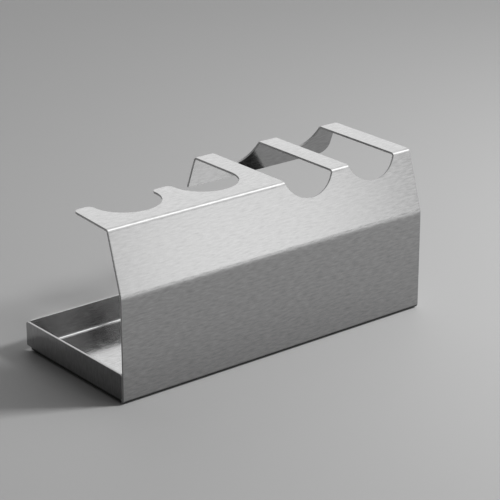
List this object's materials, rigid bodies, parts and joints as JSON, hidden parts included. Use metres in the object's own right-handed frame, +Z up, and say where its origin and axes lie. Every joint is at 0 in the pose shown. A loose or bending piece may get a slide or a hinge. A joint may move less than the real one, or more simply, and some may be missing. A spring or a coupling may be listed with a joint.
{
  "type": "hot dog holder",
  "caption": "Folded sheet-steel holder: a lipped tray carries a bridge with slots that hold hot dogs upright and round notches for drinks or sauce cups.",
  "frame": {"origin": "centre of the footprint, on the surface the holder stands on", "axes": "+X along the length, from the round notches towards the slots; the tall front wall faces -Y and the open side of the tray +Y; +Z up"},
  "size_m": [0.25, 0.1106, 0.113],
  "materials": {
    "steel": "fine straight brushing along the length"
  },
  "bodies": {
    "root": {"holder": "steel"}
  },
  "joints": []
}
